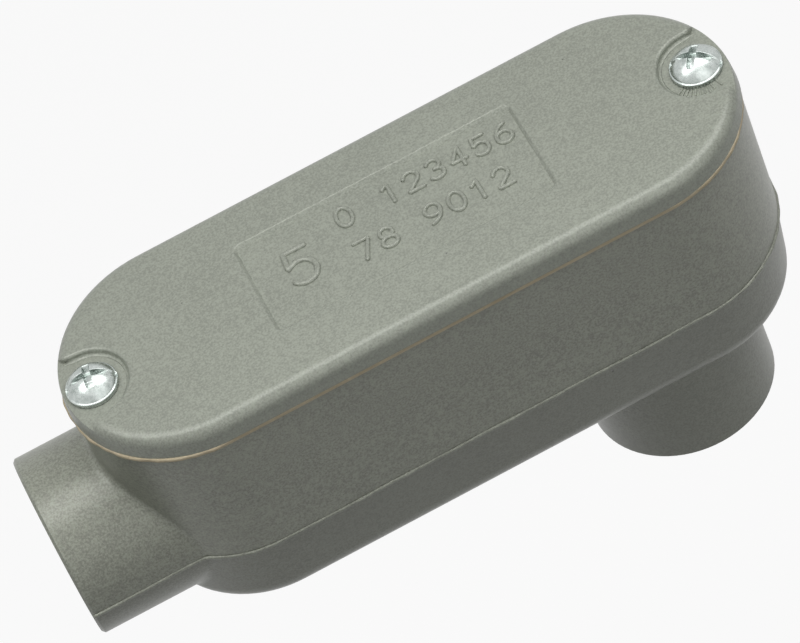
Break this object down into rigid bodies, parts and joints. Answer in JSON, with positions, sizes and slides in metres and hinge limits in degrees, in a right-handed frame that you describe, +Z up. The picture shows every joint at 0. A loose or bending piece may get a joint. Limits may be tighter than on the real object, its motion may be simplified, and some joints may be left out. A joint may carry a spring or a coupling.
{
  "type": "conduit body",
  "caption": "Cast aluminium elbow-type conduit body with a threaded hub at one end and one at the back, a gasket, and a flat oval cover held by screws.",
  "frame": {"origin": "centre of the back hub's mouth", "axes": "+Z runs up through the back hub towards the cover; +X runs from the end hub towards the closed end; Y is the width"},
  "size_m": [0.1106, 0.0356, 0.0594],
  "materials": {
    "casting": "satin grey, fine sand-cast grain",
    "cover_casting": "satin grey, fine sand-cast grain",
    "gasket_fibre": "pressed vegetable fibre, matt",
    "zinc_screw": "bright zinc plate"
  },
  "bodies": {
    "housing": {"body_casting": "casting", "gasket": "gasket_fibre"},
    "cover": {"cover": "cover_casting"},
    "hub_end_screw": {"hub_end_screw": "zinc_screw"},
    "far_end_screw": {"far_end_screw": "zinc_screw"}
  },
  "joints": [
    {"name": "cover_lift", "type": "slide", "parent": "housing", "child": "cover", "axis": [0, 0, 1], "range_m": [0, 0.05]},
    {"name": "hub_end_screw_turn", "type": "hinge", "parent": "cover", "child": "hub_end_screw", "pos_m": [-0.0737, 0, 0.0565], "axis": [0, 0, 1], "range_deg": [0, 3240]},
    {"name": "far_end_screw_turn", "type": "hinge", "parent": "cover", "child": "far_end_screw", "pos_m": [0.0177, 0, 0.0565], "axis": [0, 0, 1], "range_deg": [0, 3240]}
  ]
}
